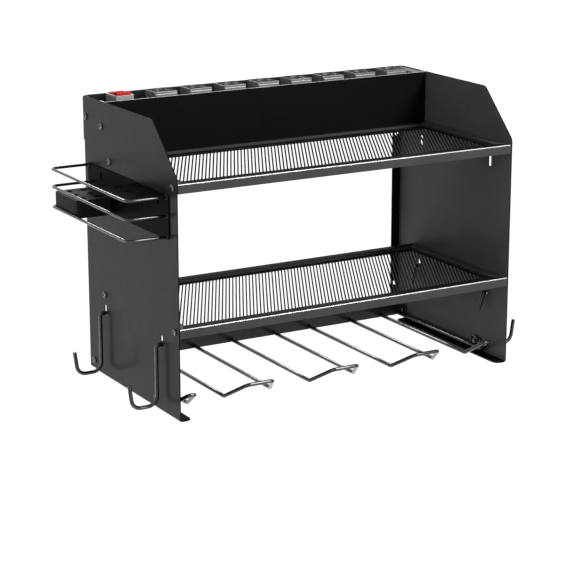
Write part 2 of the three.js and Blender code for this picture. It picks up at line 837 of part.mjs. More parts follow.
/** The block that holds drill bits upright at the rear of the caddy. */
function caddyBitBlock() {
  const inner = caddyPlateOuter - seat;
  const outer = -halfWidth - caddyReach + caddyWire / 2 + seat;
  const rear = caddyRear - caddyWire / 2 - seat - depth;
  const blockFront = caddyRear - bitBlockLength - depth;
  const block = rectangle(outer, inner, blockFront, rear, caddyInnerRound);
  const body = alongZ(block, bitBlockLow, bitBlockTop);
  const middleX = (inner + outer) / 2;
  const middleY = (blockFront + rear) / 2;
  const cuts = [];
  for (let column = 0; column < bitHoleColumns; column += 1) {
    for (let row = 0; row < bitHoleRows; row += 1) {
      const x = middleX + (row - (bitHoleRows - 1) / 2) * bitHolePitch;
      const y = middleY + (column - (bitHoleColumns - 1) / 2) * bitHolePitch;
      cuts.push(alongZ(disc(x, y, bitHole / 2), bitBlockTop - bitHoleDepth, bitBlockTop + overrun));
    }
  }
  return cuts.reduce((rest, cut) => rest.subtract(cut), body);
}

const organizer = new THREE.Group();
organizer.position.set(0, 0, -mountHeight);

const sides = [["left", -1], ["right", 1]];

for (const [word, side] of sides) organizer.add(piece(`${word}_side_panel`, sidePanel(side), powderCoat));

organizer.add(piece("top_shelf_frame", shelfFrame(topShelfHeight, backPlateSetback), powderCoat));
organizer.add(piece("top_shelf_mesh", shelfMesh(topShelfHeight, backPlateSetback), powderCoat));
organizer.add(piece("middle_shelf_frame", shelfFrame(middleShelfHeight, middleShelfDepth), powderCoat));
organizer.add(piece("middle_shelf_mesh", shelfMesh(middleShelfHeight, middleShelfDepth), powderCoat));
organizer.add(piece("back_plate", backPlate(), powderCoat));
organizer.add(piece("wall_rail", wallRail(), powderCoat));
organizer.add(piece("lower_rail", lowerRail(), powderCoat));

organizer.add(piece("power_strip_housing", stripHousing(), greyPlastic));
outletCentres().forEach((x, index) => {
  organizer.add(piece(`outlet_${index + 1}`, outlet(x), greyPlastic));
});
organizer.add(piece("switch_bezel", switchBezel(), paleMetal));
const rocker = piece("switch_rocker", switchRocker(), redPlastic);
rocker.position.set(switchX, switchY, rockerPivotHeight);
organizer.add(rocker);
organizer.add(piece("cord_gland", cordGland(), blackPlastic));

const loopHalf = rackLoopWidth / 2;
const barHalf = rackBarWidth / 2;
["left", "middle", "right"].forEach((word, index) => {
  const x = (index - 1) * rackPitch;
  const loop = rackLoop(x - loopHalf, x + loopHalf, x - barHalf, x + barHalf, rackBarBendRadius);
  organizer.add(piece(`rack_${word}_loop`, loop, glossWire));
});
for (const [word, side] of sides) {
  organizer.add(piece(`rack_${word}_end_loop`, rackEndLoop(side), glossWire));
  organizer.add(piece(`${word}_front_hook`, hook(side, slotSetbacks[0]), glossWire));
  organizer.add(piece(`${word}_rear_hook`, hook(side, slotSetbacks[1]), glossWire));
}

organizer.add(piece("caddy_back_plate", caddyBackPlate(), powderCoat));
organizer.add(piece("caddy_top_plate", caddyTopPlate(), powderCoat));
organizer.add(piece("caddy_bit_block", caddyBitBlock(), blackPlastic));
["top", "middle", "bottom"].forEach((word, index) => {
  organizer.add(piece(`caddy_${word}_wire`, caddyLoop(caddyWireHeights[index]), glossWire));
});

const panelGrip = sheet + seat + sheet;
for (const [word, side] of sides) {
  const [topFront, topRear] = shelfScrewPlaces(topShelfHeight, backPlateSetback);
  const [middleFront, middleRear] = shelfScrewPlaces(middleShelfHeight, middleShelfDepth);
  const places = {
    top_shelf_front: [...topFront, panelGrip],
    top_shelf_rear: [...topRear, panelGrip],
    middle_shelf_front: [...middleFront, panelGrip],
    middle_shelf_rear: [...middleRear, panelGrip],
    back_plate: [backPlateFace + channelScrewInset, backPlateScrewHeight, panelGrip],
    wall_rail: [-channelScrewInset, wallRailScrewHeight, panelGrip],
    rack: [rackScrewSetback - depth, rackScrewHeight, sheet + seat + rackTabThickness],
    lower_rail: [-lowerRailScrewInset, rackScrewHeight, panelGrip],
  };
  for (const [what, [y, z, grip]] of Object.entries(places)) {
    organizer.add(piece(`${word}_${what}_screw`, screw(side, y, z, grip), blackScrew));
  }
}

export default organizer;
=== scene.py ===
"""Looks of the wall mounted power tool organizer: powder-coated folded sheet, gloss wires,
a power strip with its switch, and screws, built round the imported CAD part. Metres, +Z up."""

import json
import math
import random

import bmesh
import bpy
from mathutils import Matrix, Quaternion, Vector

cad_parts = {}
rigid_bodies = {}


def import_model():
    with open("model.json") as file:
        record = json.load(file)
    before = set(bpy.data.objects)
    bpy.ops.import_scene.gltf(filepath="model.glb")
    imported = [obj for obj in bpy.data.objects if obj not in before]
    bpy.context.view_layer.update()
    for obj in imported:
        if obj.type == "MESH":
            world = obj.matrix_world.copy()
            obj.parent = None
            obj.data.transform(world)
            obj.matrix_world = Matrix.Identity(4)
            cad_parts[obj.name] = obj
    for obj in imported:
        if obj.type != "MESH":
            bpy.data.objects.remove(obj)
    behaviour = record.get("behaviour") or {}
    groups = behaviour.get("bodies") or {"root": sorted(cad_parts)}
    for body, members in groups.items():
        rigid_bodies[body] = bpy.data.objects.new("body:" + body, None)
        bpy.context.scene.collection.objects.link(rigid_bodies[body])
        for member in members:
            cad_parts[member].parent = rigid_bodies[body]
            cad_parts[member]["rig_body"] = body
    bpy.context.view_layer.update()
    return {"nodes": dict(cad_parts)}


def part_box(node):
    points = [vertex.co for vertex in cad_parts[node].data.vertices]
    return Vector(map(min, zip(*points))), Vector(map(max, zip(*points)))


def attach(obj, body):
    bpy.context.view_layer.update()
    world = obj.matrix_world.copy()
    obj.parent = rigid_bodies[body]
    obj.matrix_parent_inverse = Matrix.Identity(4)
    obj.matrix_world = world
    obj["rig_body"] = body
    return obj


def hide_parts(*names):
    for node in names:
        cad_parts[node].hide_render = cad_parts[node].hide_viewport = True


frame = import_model()

MM = 0.001

# Sheet metal
SHEET = 1.2 * MM
CLEARANCE = 0.25 * MM

# Copies of solids: points merged, flat faces joined, edges rounded by the kind of piece
MERGE_DISTANCE = 0.001 * MM
FLAT_ANGLE = math.radians(0.5)
BEVEL_ANGLE = math.radians(30)
ROUND_STEPS = 2
FINE_ROUND_STEPS = 3
PANEL_ROUND = 0.45 * MM
BACK_PLATE_ROUND = 0.4 * MM
THIN_ROUND = 0.3 * MM
HOUSING_ROUND = 0.5 * MM
BLOCK_ROUND = 0.6 * MM
GLAND_ROUND = 0.4 * MM
SCREW_ROUND = 0.12 * MM

# Shares of a face's normal that tell folds, upper sides and thin edges from the rest; they pick
# the faces that take painted highlight, painted shade and painted light
FOLD_SHARE = 0.45
UP_SHARE = 0.55
EDGE_SHARE = 0.5

# Depths of the relief on the surfaces
PEEL_DEPTH = 0.02 * MM
GRAIN_DEPTH = 0.012 * MM
DRAW_DEPTH = 0.03 * MM
FLOW_DEPTH = 0.03 * MM
SPARK_DEPTH = 0.015 * MM
POLISH_DEPTH = 0.01 * MM
BRUSH_DEPTH = 0.004 * MM

# How far roughness swings below and above its written value
COAT_SWING = 0.03
PLASTIC_SWING_DOWN = 0.05
PLASTIC_SWING_UP = 0.06

# Folded rims of the shelves, drawn as rectangles
CORNERS = 4
RIM_SIDE = 13 * MM
RIM_FRONT = 14 * MM
RIM_REAR = 13 * MM
RIM_ROUND = 0.5 * MM
LIP_HEIGHT = 10.5 * MM
LIP_ROUND = 2 * MM
INNER_LIP = 6 * MM

# Slotted fields of the shelves
MESH_TURN = math.radians(28.6)
MESH_PITCH = 3.85 * MM
MESH_SLOT = 2.2 * MM
MESH_BORDER = 2.4 * MM
MESH_SINK = 0.05 * MM
MESH_ROUND = 0.35 * MM
MESH_SHORTEST = 3 * MM

# Wires: diameters, and the facets round a wire, along any bend and at a wire's end
RACK_WIRE = 4.5 * MM
CADDY_WIRE = 3.2 * MM
WIRE_SIDES = 24
BEND_STEPS = 12
END_STEPS = 4
END_ROUND = 0.6 * MM

# Drill rack, with heights counted from the panels' lower edge
RACK_HEIGHT = 5.5 * MM
RACK_BEND_Y = -189 * MM
RACK_BAR_Y = -218 * MM
RACK_BAR_HEIGHT = 24 * MM
RACK_PITCH = 110 * MM
RACK_LOOP_WIDTH = 59 * MM
RACK_BAR_WIDTH = 32 * MM
RACK_BEND_RADIUS = 5 * MM
RACK_BAR_BEND_RADIUS = 5.5 * MM
RACK_END_BEND_RADIUS = 3.6 * MM
RACK_END_OUTER = 5.6 * MM
RACK_END_INNER = 30 * MM
RACK_END_BAR_OUTER = 16.6 * MM
RACK_END_BAR_INNER = 24.6 * MM
TAB_Y = -173 * MM
TAB_LENGTH = 18 * MM
TAB_THICKNESS = 2.2 * MM
TAB_LOW = 2.75 * MM
TAB_TOP = 17.5 * MM
TAB_ROUND = 3 * MM

# J hooks, outwards from a panel's outer face and up from the hook's lowest centre line
HOOK_LEG_OUT = 6.7 * MM
HOOK_REACH = 36 * MM
HOOK_TIP_OUT = 39.9 * MM
HOOK_TIP_RISE = 27.2 * MM
HOOK_NECK_RISE = 67.8 * MM
HOOK_TAIL_DROP = 22 * MM
HOOK_TAIL_IN = 3.4 * MM
HOOK_TAIL_SPLAY = 7.4 * MM
HOOK_BEND_RADIUS = 11 * MM
HOOK_NECK_RADIUS = 3.5 * MM

CADDY_BEND_RADIUS = 7 * MM

# Screws and nuts
HEAD_RADIUS = 4 * MM
HEAD_HEIGHT = 2.4 * MM
HEAD_FOOT = 0.25 * MM
HEAD_SIDE = 0.7 * MM
HEAD_STEPS = 8
SHANK_RADIUS = 1.9 * MM
THREAD_DEPTH = 0.18 * MM
THREAD_PITCH = 0.5 * MM
NUT_SIDES = 6
NUT_RADIUS = 3.2 * MM
NUT_THICKNESS = 2.4 * MM
TIP = 1.2 * MM
RECESS_REACH = 2.1 * MM
RECESS_WIDTH = 0.85 * MM
RECESS_DEPTH = 1.3 * MM
RECESS_TAPER_SHARE = 0.55
POLE_RADIUS = 0.001 * MM
SCREW_SIDES = 32
SCREW_SEED = 7

# Rocker, about its pivot, and the marks raised on it
ROCKER_RADIUS = 11.6 * MM
ROCKER_HALF_THICKNESS = 4.6 * MM
ROCKER_WIDTH = 18 * MM
ROCKER_DIP = 1.4 * MM
ROCKER_PIVOT_DROP = 1.8 * MM
ROCKER_TILT = math.radians(-8)
MARK_PLACE = 5.2 * MM
MARK_LENGTH = 4 * MM
MARK_LINE = 0.7 * MM
MARK_RISE = 0.2 * MM

# Outlets: their top faces, which take painted shade, the plate after the last one, and the
# contacts inside
TOP_FACE_DEPTH = 1 * MM
PLATE_GAP = 1 * MM
BLADE_SPACING = 12.7 * MM
BLADE_FORWARD = 2.6 * MM
EARTH_BACK = 8.6 * MM
EARTH_RADIUS = 2.45 * MM
LEAF_APART = 1.3 * MM
LEAF_THICKNESS = 0.3 * MM
LEAF_LENGTH = 6.6 * MM
LEAF_HEIGHT = 5.5 * MM
CONTACT_TOP = 2 * MM

# Weld beads where wires meet sheet
BEAD_HEIGHT = 1.3 * MM
BEAD_SPREAD = 1.2 * MM
BEAD_WOBBLE = 0.12 * MM
BEAD_STEPS = 5
BEAD_SIDES = 28
BEAD_SEED = 11

# Floor and sky
FLOOR_DROP = 2.3
FLOOR_HALF = 30.0
FLOOR_COLOR = (0.86, 0.86, 0.86)
FLOOR_ROUGHNESS = 0.9
FLOOR_CAMERA_LIGHT = 0.66
SKY_STRENGTH = 0.45

# Lamps, all at one distance from their target
LAMP_TARGET = Vector((0, -0.115, -0.14))
LAMP_DISTANCE = 2.6
TOP_LAMP_ROLL = math.radians(-27)

# Camera, with lens and sensor in millimetres
CAMERA_PLACE = (-1.1172, -2.0093, 0.4002)
CAMERA_AZIMUTH = math.radians(30.204)
CAMERA_ELEVATION = math.radians(15.325)
CAMERA_LENS = 122.89
CAMERA_SENSOR = 36.0

panel_low, panel_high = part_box("left_side_panel")
GROUND = panel_low.z
HALF_WIDTH = -panel_low.x
SHELF_HALF = HALF_WIDTH - SHEET - CLEARANCE
PANEL_GRIP = 2 * SHEET + CLEARANCE
RACK_GRIP = SHEET + CLEARANCE + TAB_THICKNESS
SIDES = {"left": -1, "right": 1}
OUTLETS = sorted(name for name in frame["nodes"] if name.startswith("outlet_"))
SCREWS = sorted(name for name in frame["nodes"] if name.endswith("_screw"))


class Shader:
    """A material whose procedural detail follows the piece's own coordinates."""

    def __init__(self, name, color, roughness, **sockets):
        self.material = bpy.data.materials.new(name)
        self.material.use_nodes = True
        self.tree = self.material.node_tree
        self.bsdf = self.tree.nodes["Principled BSDF"]
        self.place = self.tree.nodes.new("ShaderNodeTexCoord").outputs["Object"]
        self.bsdf.inputs["Base Color"].default_value = (*color, 1)
        self.bsdf.inputs["Roughness"].default_value = roughness
        self.color = color
        self.normal = None
        for socket, value in sockets.items():
            self.bsdf.inputs[socket.replace("_", " ")].default_value = value

    def stretched(self, x, y, z):
        """The piece's coordinates, scaled along each axis."""
        mapping = self.tree.nodes.new("ShaderNodeMapping")
        mapping.inputs["Scale"].default_value = (x, y, z)
        self.tree.links.new(self.place, mapping.inputs["Vector"])
        return mapping.outputs["Vector"]

    def noise(self, scale, detail, place=None):
        """Cloudy noise, its scale counted per metre."""
        node = self.tree.nodes.new("ShaderNodeTexNoise")
        node.inputs["Scale"].default_value = scale
        node.inputs["Detail"].default_value = detail
        self.tree.links.new(place or self.place, node.inputs["Vector"])
        return node.outputs["Fac"]

    def cells(self, scale):
        """Round cells, their scale counted per metre."""
        node = self.tree.nodes.new("ShaderNodeTexVoronoi")
        node.inputs["Scale"].default_value = scale
        self.tree.links.new(self.place, node.inputs["Vector"])
        return node.outputs["Distance"]

    def spread(self, value, low, high, start=0.3, end=0.7):
        """The value between start and end, mapped to low and high."""
        node = self.tree.nodes.new("ShaderNodeMapRange")
        for socket, amount in (
            ("From Min", start), ("From Max", end), ("To Min", low), ("To Max", high),
        ):
            node.inputs[socket].default_value = amount
        self.tree.links.new(value, node.inputs["Value"])
        return node.outputs["Result"]

    def tint(self, value, dark, light):
        """Base colour that swings from dark to light times the written colour."""
        node = self.tree.nodes.new("ShaderNodeMix")
        node.data_type = "RGBA"
        node.inputs["A"].default_value = (*(c * dark for c in self.color), 1)
        node.inputs["B"].default_value = (*(c * light for c in self.color), 1)
        self.tree.links.new(self.spread(value, 0, 1), node.inputs["Factor"])
        self.tree.links.new(node.outputs["Result"], self.bsdf.inputs["Base Color"])

    def shine(self, value, low, high):
        """Roughness that swings from low to high."""
        self.tree.links.new(self.spread(value, low, high), self.bsdf.inputs["Roughness"])

    def relief(self, height, strength, depth):
        """Bump with a depth in metres, laid over the one before."""
        node = self.tree.nodes.new("ShaderNodeBump")
        node.inputs["Strength"].default_value = strength
        node.inputs["Distance"].default_value = depth
        self.tree.links.new(height, node.inputs["Height"])
        if self.normal is not None:
            self.tree.links.new(self.normal, node.inputs["Normal"])
        self.normal = node.outputs["Normal"]
        self.tree.links.new(self.normal, self.bsdf.inputs["Normal"])


def powder_coat(name, color, level, coat, roughness=0.38, grain=1.0):
    """Satin black powder coat: orange peel under a fine grain, uneven in gloss."""
    shader = Shader(
        name, color, roughness, Specular_IOR_Level=level, Coat_Weight=coat, Coat_Roughness=0.12)
    shader.tint(shader.noise(scale=38, detail=4), dark=0.93, light=1.07)
    shader.shine(
        shader.noise(scale=90, detail=3), low=roughness - COAT_SWING, high=roughness + COAT_SWING)
    shader.relief(shader.noise(scale=420, detail=1), strength=grain / 2, depth=PEEL_DEPTH)
    shader.relief(shader.cells(scale=2600), strength=grain / 2, depth=GRAIN_DEPTH)
    return shader.material


def wire_gloss():
    """Gloss black lacquer on drawn wire, with faint draw lines and runs."""
    shader = Shader(
        "wire_gloss", color=(0.006, 0.006, 0.0064), roughness=0.14,
        Specular_IOR_Level=0.3, Coat_Weight=0.4, Coat_Roughness=0.08)
    shader.tint(shader.noise(scale=60, detail=3), dark=0.8, light=1.25)
    shader.shine(shader.noise(scale=240, detail=3), low=0.12, high=0.18)
    shader.relief(shader.noise(scale=160, detail=2), strength=0.15, depth=DRAW_DEPTH)
    return shader.material


def moulded(name, color, roughness, grain, level=0.04):
    """Moulded plastic with a fine spark-eroded grain and slight flow marks."""
    shader = Shader(name, color, roughness, Specular_IOR_Level=level)
    shader.tint(shader.noise(scale=55, detail=3), dark=0.93, light=1.08)
    shader.shine(
        shader.noise(scale=300, detail=3),
        low=roughness - PLASTIC_SWING_DOWN, high=roughness + PLASTIC_SWING_UP)
    shader.relief(shader.noise(scale=120, detail=1), strength=0.25, depth=FLOW_DEPTH)
    shader.relief(shader.cells(scale=3200), strength=grain, depth=SPARK_DEPTH)
    return shader.material


def red_plastic():
    """Polished red plastic, uneven in gloss from use."""
    shader = Shader(
        "red_plastic", color=(0.34, 0.004, 0.007), roughness=0.32,
        Specular_IOR_Level=0.03, Coat_Weight=0.02, Coat_Roughness=0.2)
    shader.tint(shader.noise(scale=150, detail=2), dark=0.9, light=1.06)
    shader.shine(shader.noise(scale=500, detail=2), low=0.28, high=0.38)
    shader.relief(shader.noise(scale=700, detail=2), strength=0.2, depth=POLISH_DEPTH)
    return shader.material


def bezel_metal():
    """Satin nickel with brushing that runs front to rear."""
    shader = Shader("bezel_metal", color=(0.40, 0.405, 0.415), roughness=0.36, Metallic=0.6)
    brushing = shader.noise(scale=900, detail=2, place=shader.stretched(x=1, y=0.03, z=1))
    shader.tint(brushing, dark=0.92, light=1.05)
    shader.shine(brushing, low=0.32, high=0.42)
    shader.relief(brushing, strength=0.2, depth=BRUSH_DEPTH)
    return shader.material


def screw_steel():
    """Black zinc on steel, rubbed brighter in small patches."""
    shader = Shader(
        "screw_steel", color=(0.018, 0.018, 0.020), roughness=0.14, Specular_IOR_Level=0.8)
    shader.tint(shader.noise(scale=420, detail=4), dark=0.6, light=1.5)
    shader.shine(shader.noise(scale=650, detail=3), low=0.11, high=0.18)
    shader.relief(shader.noise(scale=1500, detail=2), strength=0.25, depth=POLISH_DEPTH)
    return shader.material


def contact_brass():
    """Rolled brass, tarnished in patches."""
    shader = Shader("contact_brass", color=(0.55, 0.38, 0.14), roughness=0.35, Metallic=1.0)
    shader.tint(shader.noise(scale=500, detail=3), dark=0.6, light=1.1)
    shader.shine(shader.noise(scale=900, detail=3), low=0.28, high=0.5)
    return shader.material


COAT = powder_coat(
    "powder_coat", color=(0.0160, 0.0162, 0.0166), level=0.075, coat=0.07)
# Lighter copy of the coat: painted light on the panels' inner faces
PAINTED_LIGHT_INNER_COAT = powder_coat(
    "powder_coat_painted_light_inner", color=(0.0800, 0.0806, 0.0824), level=0.035, coat=0.04)
# Lighter copy of the coat: painted light that brightens the shelf rims and their lips
PAINTED_LIGHT_SHELF_COAT = powder_coat(
    "powder_coat_painted_light_shelf", color=(0.0400, 0.0404, 0.0413), level=0.04, coat=0)
# Near-black copy of the coat: painted shade on sheet edges, rim tops, the mesh and plates that lie
# in shade
PAINTED_SHADE_COAT = powder_coat(
    "powder_coat_painted_shade", color=(0.0046, 0.0046, 0.0048), level=0.01, coat=0)
# Light grey copy of the black coat: a painted highlight line on folds and top edges
PAINTED_HIGHLIGHT_COAT = powder_coat(
    "powder_coat_painted_highlight", color=(0.4600, 0.4620, 0.4660), level=0.5, coat=0.4,
    roughness=0.25, grain=0.15)
WIRE = wire_gloss()
STRIP_PLASTIC = moulded(
    "strip_plastic", color=(0.130, 0.132, 0.136), roughness=0.42, grain=0.45)
# Light grey glossy copy of the plastic: painted highlight lines on the outlets' rounded edges
STRIP_PAINTED_HIGHLIGHT = moulded(
    "strip_plastic_painted_highlight", color=(0.230, 0.232, 0.236), roughness=0.2, grain=0.1, level=0.8)
# Near-black copy of the plastic: painted shade on the outlets' top faces
STRIP_PAINTED_SHADE_TOP = moulded(
    "strip_plastic_painted_shade_top", color=(0.020, 0.020, 0.021), roughness=0.45, grain=0.3, level=0.004)
BLACK_PLASTIC = moulded(
    "black_plastic", color=(0.012, 0.012, 0.013), roughness=0.45, grain=0.6)
RED = red_plastic()
BEZEL = bezel_metal()
STEEL = screw_steel()
BRASS = contact_brass()


def body_of(node):
    """The body that a CAD node belongs to."""
    return frame["nodes"][node]["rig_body"]


def new_object(name, data):
    """An object of the scene with the given mesh, lamp or camera."""
    piece = bpy.data.objects.new(name, data)
    bpy.context.scene.collection.objects.link(piece)
    return piece


def add(
        name, mesh, material, nodes, body=None, bevel=0.0, bevel_steps=ROUND_STEPS,
        edge=None):
    """A shown piece: its mesh, finish, the CAD nodes it stands for and the body it rides on.
    An edge finish goes on its roundings: painted shade on the panels, a painted highlight on the
    back plate and outlets."""
    mesh.materials.clear()
    mesh.materials.append(material)
    if edge:
        mesh.materials.append(edge)
    mesh.shade_smooth()
    piece = new_object(name, mesh)
    if bevel:
        rounding = piece.modifiers.new("edge_rounding", "BEVEL")
        rounding.width = bevel
        rounding.segments = bevel_steps
        rounding.limit_method = "ANGLE"
        rounding.angle_limit = BEVEL_ANGLE
        rounding.use_clamp_overlap = True
        rounding.miter_outer = "MITER_ARC"
        rounding.material = 1 if edge else -1
        piece.modifiers.new("flat_shading_kept", "WEIGHTED_NORMAL").keep_sharp = True
    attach(piece, body or body_of(nodes[0]))
    if nodes:
        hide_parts(*nodes)
    return piece


def from_faces(name, points, faces):
    """A mesh of points and the faces between them."""
    mesh = bpy.data.meshes.new(name)
    mesh.from_pydata([tuple(point) for point in points], [], faces)
    mesh.update()
    return mesh


def cad_copy(node, name, join_flats=True):
    """The node's solid with its seams welded and its flat faces joined, ready for rounding."""
    source = frame["nodes"][node].data
    mesh = from_faces(
        name, [v.co for v in source.vertices], [tuple(p.vertices) for p in source.polygons])
    work = bmesh.new()
    work.from_mesh(mesh)
    bmesh.ops.remove_doubles(work, verts=work.verts, dist=MERGE_DISTANCE)
    if join_flats:
        bmesh.ops.dissolve_limit(
            work, angle_limit=FLAT_ANGLE, verts=work.verts, edges=work.edges)
    work.to_mesh(mesh)
    work.free()
    return mesh


def dressed(
        node, material, bevel, bevel_steps=ROUND_STEPS, join_flats=True, edge=None):
    """A piece that keeps its node's shape, with a finish and rounded edges."""
    return add(
        node + "_shape", cad_copy(node, node + "_shape", join_flats), material, [node],
        bevel=bevel, bevel_steps=bevel_steps, edge=edge)


def refinished(piece, material, chosen):
    """Gives the faces of a piece that the test chooses another finish."""
    piece.data.materials.append(material)
    index = len(piece.data.materials) - 1
    for face in piece.data.polygons:
        if chosen(face):
            face.material_index = index


def bent(before, corner, after, radius):
    """The arc that rounds one corner of a wire."""
    back = (before - corner).normalized()
    ahead = (after - corner).normalized()
    half_angle = back.angle(ahead) / 2
    centre = corner + (back + ahead).normalized() * (radius / math.sin(half_angle))
    tangent = radius / math.tan(half_angle)
    first = corner + back * tangent - centre
    last = corner + ahead * tangent - centre
    axis = first.cross(last).normalized()
    turn = first.angle(last)
    return [
        centre + Matrix.Rotation(turn * step / BEND_STEPS, 3, axis) @ first
        for step in range(BEND_STEPS + 1)
    ]


def route(corners):
    """Centre line through corners (x, y, z, bend radius), straight between the bends."""
    places = [Vector(corner[:3]) for corner in corners]
    points = [places[0]]
    for index in range(1, len(corners) - 1):
        points += bent(*places[index - 1:index + 2], corners[index][3])
    return points + [places[-1]]


def wire_rings(points, radius):
    """Ring centres, directions and radii of a wire whose cut ends are rounded off."""
    rings = []
    for index, point in enumerate(points):
        before = points[max(index - 1, 0)]
        after = points[min(index + 1, len(points) - 1)]
        arriving = (point - before).normalized()
        leaving = (after - point).normalized()
        direction = (arriving + leaving).normalized()
        if index in (0, len(points) - 1):
            inward = 1 if index == 0 else -1
            turns = [math.pi / 2 * step / END_STEPS for step in range(END_STEPS + 1)]
            ends = [
                (point + direction * inward * END_ROUND * (1 - math.cos(turn)),
                 direction, radius - END_ROUND * (1 - math.sin(turn)))
                for turn in turns
            ]
            rings += ends if index == 0 else ends[::-1]
        else:
            rings.append((point, direction, radius))
    return rings


def band(near, far, sides):
    """Quads between two rings of points, each ring given by the number of its first point."""
    return [
        (near + side, near + (side + 1) % sides, far + (side + 1) % sides, far + side)
        for side in range(sides)
    ]


def tube_faces(rings, sides):
    """Quads between rings of points that follow each other, and the faces of both ends."""
    faces = []
    for ring in range(rings - 1):
        faces += band(ring * sides, (ring + 1) * sides, sides)
    last = (rings - 1) * sides
    return faces + [tuple(range(sides))[::-1], tuple(range(last, last + sides))]


def prism(name, outline, x_low, x_high):
    """A solid between two planes across x, with its outline given as (y, z)."""
    points = [(x, y, z) for x in (x_low, x_high) for y, z in outline]
    return from_faces(name, points, tube_faces(2, len(outline)))


def wire_mesh(name, corners, diameter):
    """A round wire along a route, its sides carried along without twist."""
    rings = wire_rings(route(corners), diameter / 2)
    across = rings[0][1].orthogonal().normalized()
    points = []
    for centre, direction, radius in rings:
        across = (across - direction * across.dot(direction)).normalized()
        other = direction.cross(across)
        for side in range(WIRE_SIDES):
            angle = 2 * math.pi * side / WIRE_SIDES
            points.append(
                centre + (across * math.cos(angle) + other * math.sin(angle)) * radius)
    return from_faces(name, points, tube_faces(len(rings), WIRE_SIDES))


def made(name, work):
    """The mesh of what was in the making."""
    mesh = bpy.data.meshes.new(name)
    work.to_mesh(mesh)
    work.free()
    return mesh


def joined(name, *meshes):
    """One mesh of several, the given ones removed."""
    work = bmesh.new()
    for mesh in meshes:
        work.from_mesh(mesh)
        bpy.data.meshes.remove(mesh)
    return made(name, work)


def block(work, middle, size, turn=0.0):
    """A box added to a mesh in the making, turned about its upright."""
    placing = Matrix.Translation(middle) @ Matrix.Rotation(turn, 4, "Z")
    bmesh.ops.create_cube(work, size=1, matrix=placing @ Matrix.Diagonal((*size, 1)))


def turned(profile, sides, wobble=None):
    """Points and faces of a profile [(radius, along)] turned about +X, closed at both ends."""
    points = []
    for radius, along in profile:
        for side in range(sides):
            angle = 2 * math.pi * side / sides
            reach = radius + (wobble[side] if wobble else 0)
            points.append(Vector((along, reach * math.cos(angle), reach * math.sin(angle))))
    return points, tube_faces(len(profile), sides)


def applied(piece):
    """The mesh of a piece with its modifiers worked in; the piece itself goes."""
    graph = bpy.context.evaluated_depsgraph_get()
    result = bpy.data.meshes.new_from_object(piece.evaluated_get(graph))
    bpy.data.objects.remove(piece)
    return result


def recess_cutter():
    """A cross of two tapered blades that sinks into a screw head along +X."""
    work = bmesh.new()
    for turn in (0, math.pi / 2):
        blade = bmesh.ops.create_cube(work, size=1)["verts"]
        for vertex in blade:
            deep = vertex.co.x > 0
            reach = RECESS_REACH * (RECESS_TAPER_SHARE if deep else 1)
            vertex.co = Vector((
                RECESS_DEPTH - HEAD_HEIGHT if deep else -2 * HEAD_HEIGHT,
                2 * vertex.co.y * reach, vertex.co.z * RECESS_WIDTH))
        bmesh.ops.rotate(work, verts=blade, matrix=Matrix.Rotation(turn, 3, "X"))
    return new_object("recess_cutter", made("recess_cutter", work))


def screw_head():
    """A domed head at -X with a cross recess."""
    dome = [
        (HEAD_RADIUS * math.cos(angle), -HEAD_SIDE - (HEAD_HEIGHT - HEAD_SIDE) * math.sin(angle))
        for angle in (math.pi / 2 * step / HEAD_STEPS for step in range(HEAD_STEPS, -1, -1))
    ]
    dome[0] = (POLE_RADIUS, -HEAD_HEIGHT)
    profile = [*dome, (HEAD_RADIUS, -HEAD_FOOT), (POLE_RADIUS, -HEAD_FOOT)]
    head = new_object("screw_head", from_faces("screw_head", *turned(profile, SCREW_SIDES)))
    cutter = recess_cutter()
    cut = head.modifiers.new("recess", "BOOLEAN")
    cut.object = cutter
    cut.use_self = True
    mesh = applied(head)
    bpy.data.objects.remove(cutter)
    return mesh


def screw_shank(reach):
    """A round shank up to the given reach, with threads round its end."""
    profile = [(SHANK_RADIUS, -HEAD_FOOT), (SHANK_RADIUS, reach)]
    for step in range(int(TIP / THREAD_PITCH)):
        start = reach + step * THREAD_PITCH
        profile += [
            (SHANK_RADIUS - THREAD_DEPTH, start + THREAD_PITCH / 4),
            (SHANK_RADIUS, start + THREAD_PITCH * 3 / 4),
        ]
    profile.append((SHANK_RADIUS - THREAD_DEPTH, reach + TIP))
    return from_faces("screw_shank", *turned(profile, SCREW_SIDES))


def screw_nut(grip, reach):
    """A hexagon nut with eased corners, from the sheets it grips up to the given reach."""
    flat = NUT_RADIUS * math.cos(math.pi / NUT_SIDES)
    profile = [
        (flat, grip + CLEARANCE), (NUT_RADIUS, grip + CLEARANCE + THREAD_DEPTH * 2),
        (NUT_RADIUS, reach - THREAD_DEPTH * 2), (flat, reach),
    ]
    return from_faces("screw_nut", *turned(profile, NUT_SIDES))


def screw_mesh(grip):
    """A screw for sheets of the given thickness, with its nut."""
    reach = grip + NUT_THICKNESS
    return joined(
        f"screw_{round(grip / MM, 2)}", screw_head(), screw_shank(reach), screw_nut(grip, reach))


def place_screws():
    """A screw in place of each CAD one, its recess turned as the fitter left it."""
    chance = random.Random(SCREW_SEED)
    meshes = {grip: screw_mesh(grip) for grip in (PANEL_GRIP, RACK_GRIP)}
    for node in SCREWS:
        side = SIDES[node.split("_")[0]]
        low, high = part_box(node)
        grip = RACK_GRIP if node.endswith("rack_screw") else PANEL_GRIP
        mesh = meshes[grip].copy()
        facing = Matrix.Identity(4) if side < 0 else Matrix.Rotation(math.pi, 4, "Z")
        spin = Matrix.Rotation(chance.uniform(0, math.pi), 4, "X")
        middle = (low + high) / 2
        mesh.transform(
            Matrix.Translation((side * HALF_WIDTH, middle.y, middle.z)) @ facing @ spin)
        add(node + "_shape", mesh, STEEL, [node], bevel=SCREW_ROUND)


def rail_face():
    """Place along y of the lower rail's front face."""
    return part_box("lower_rail")[1].y - SHEET


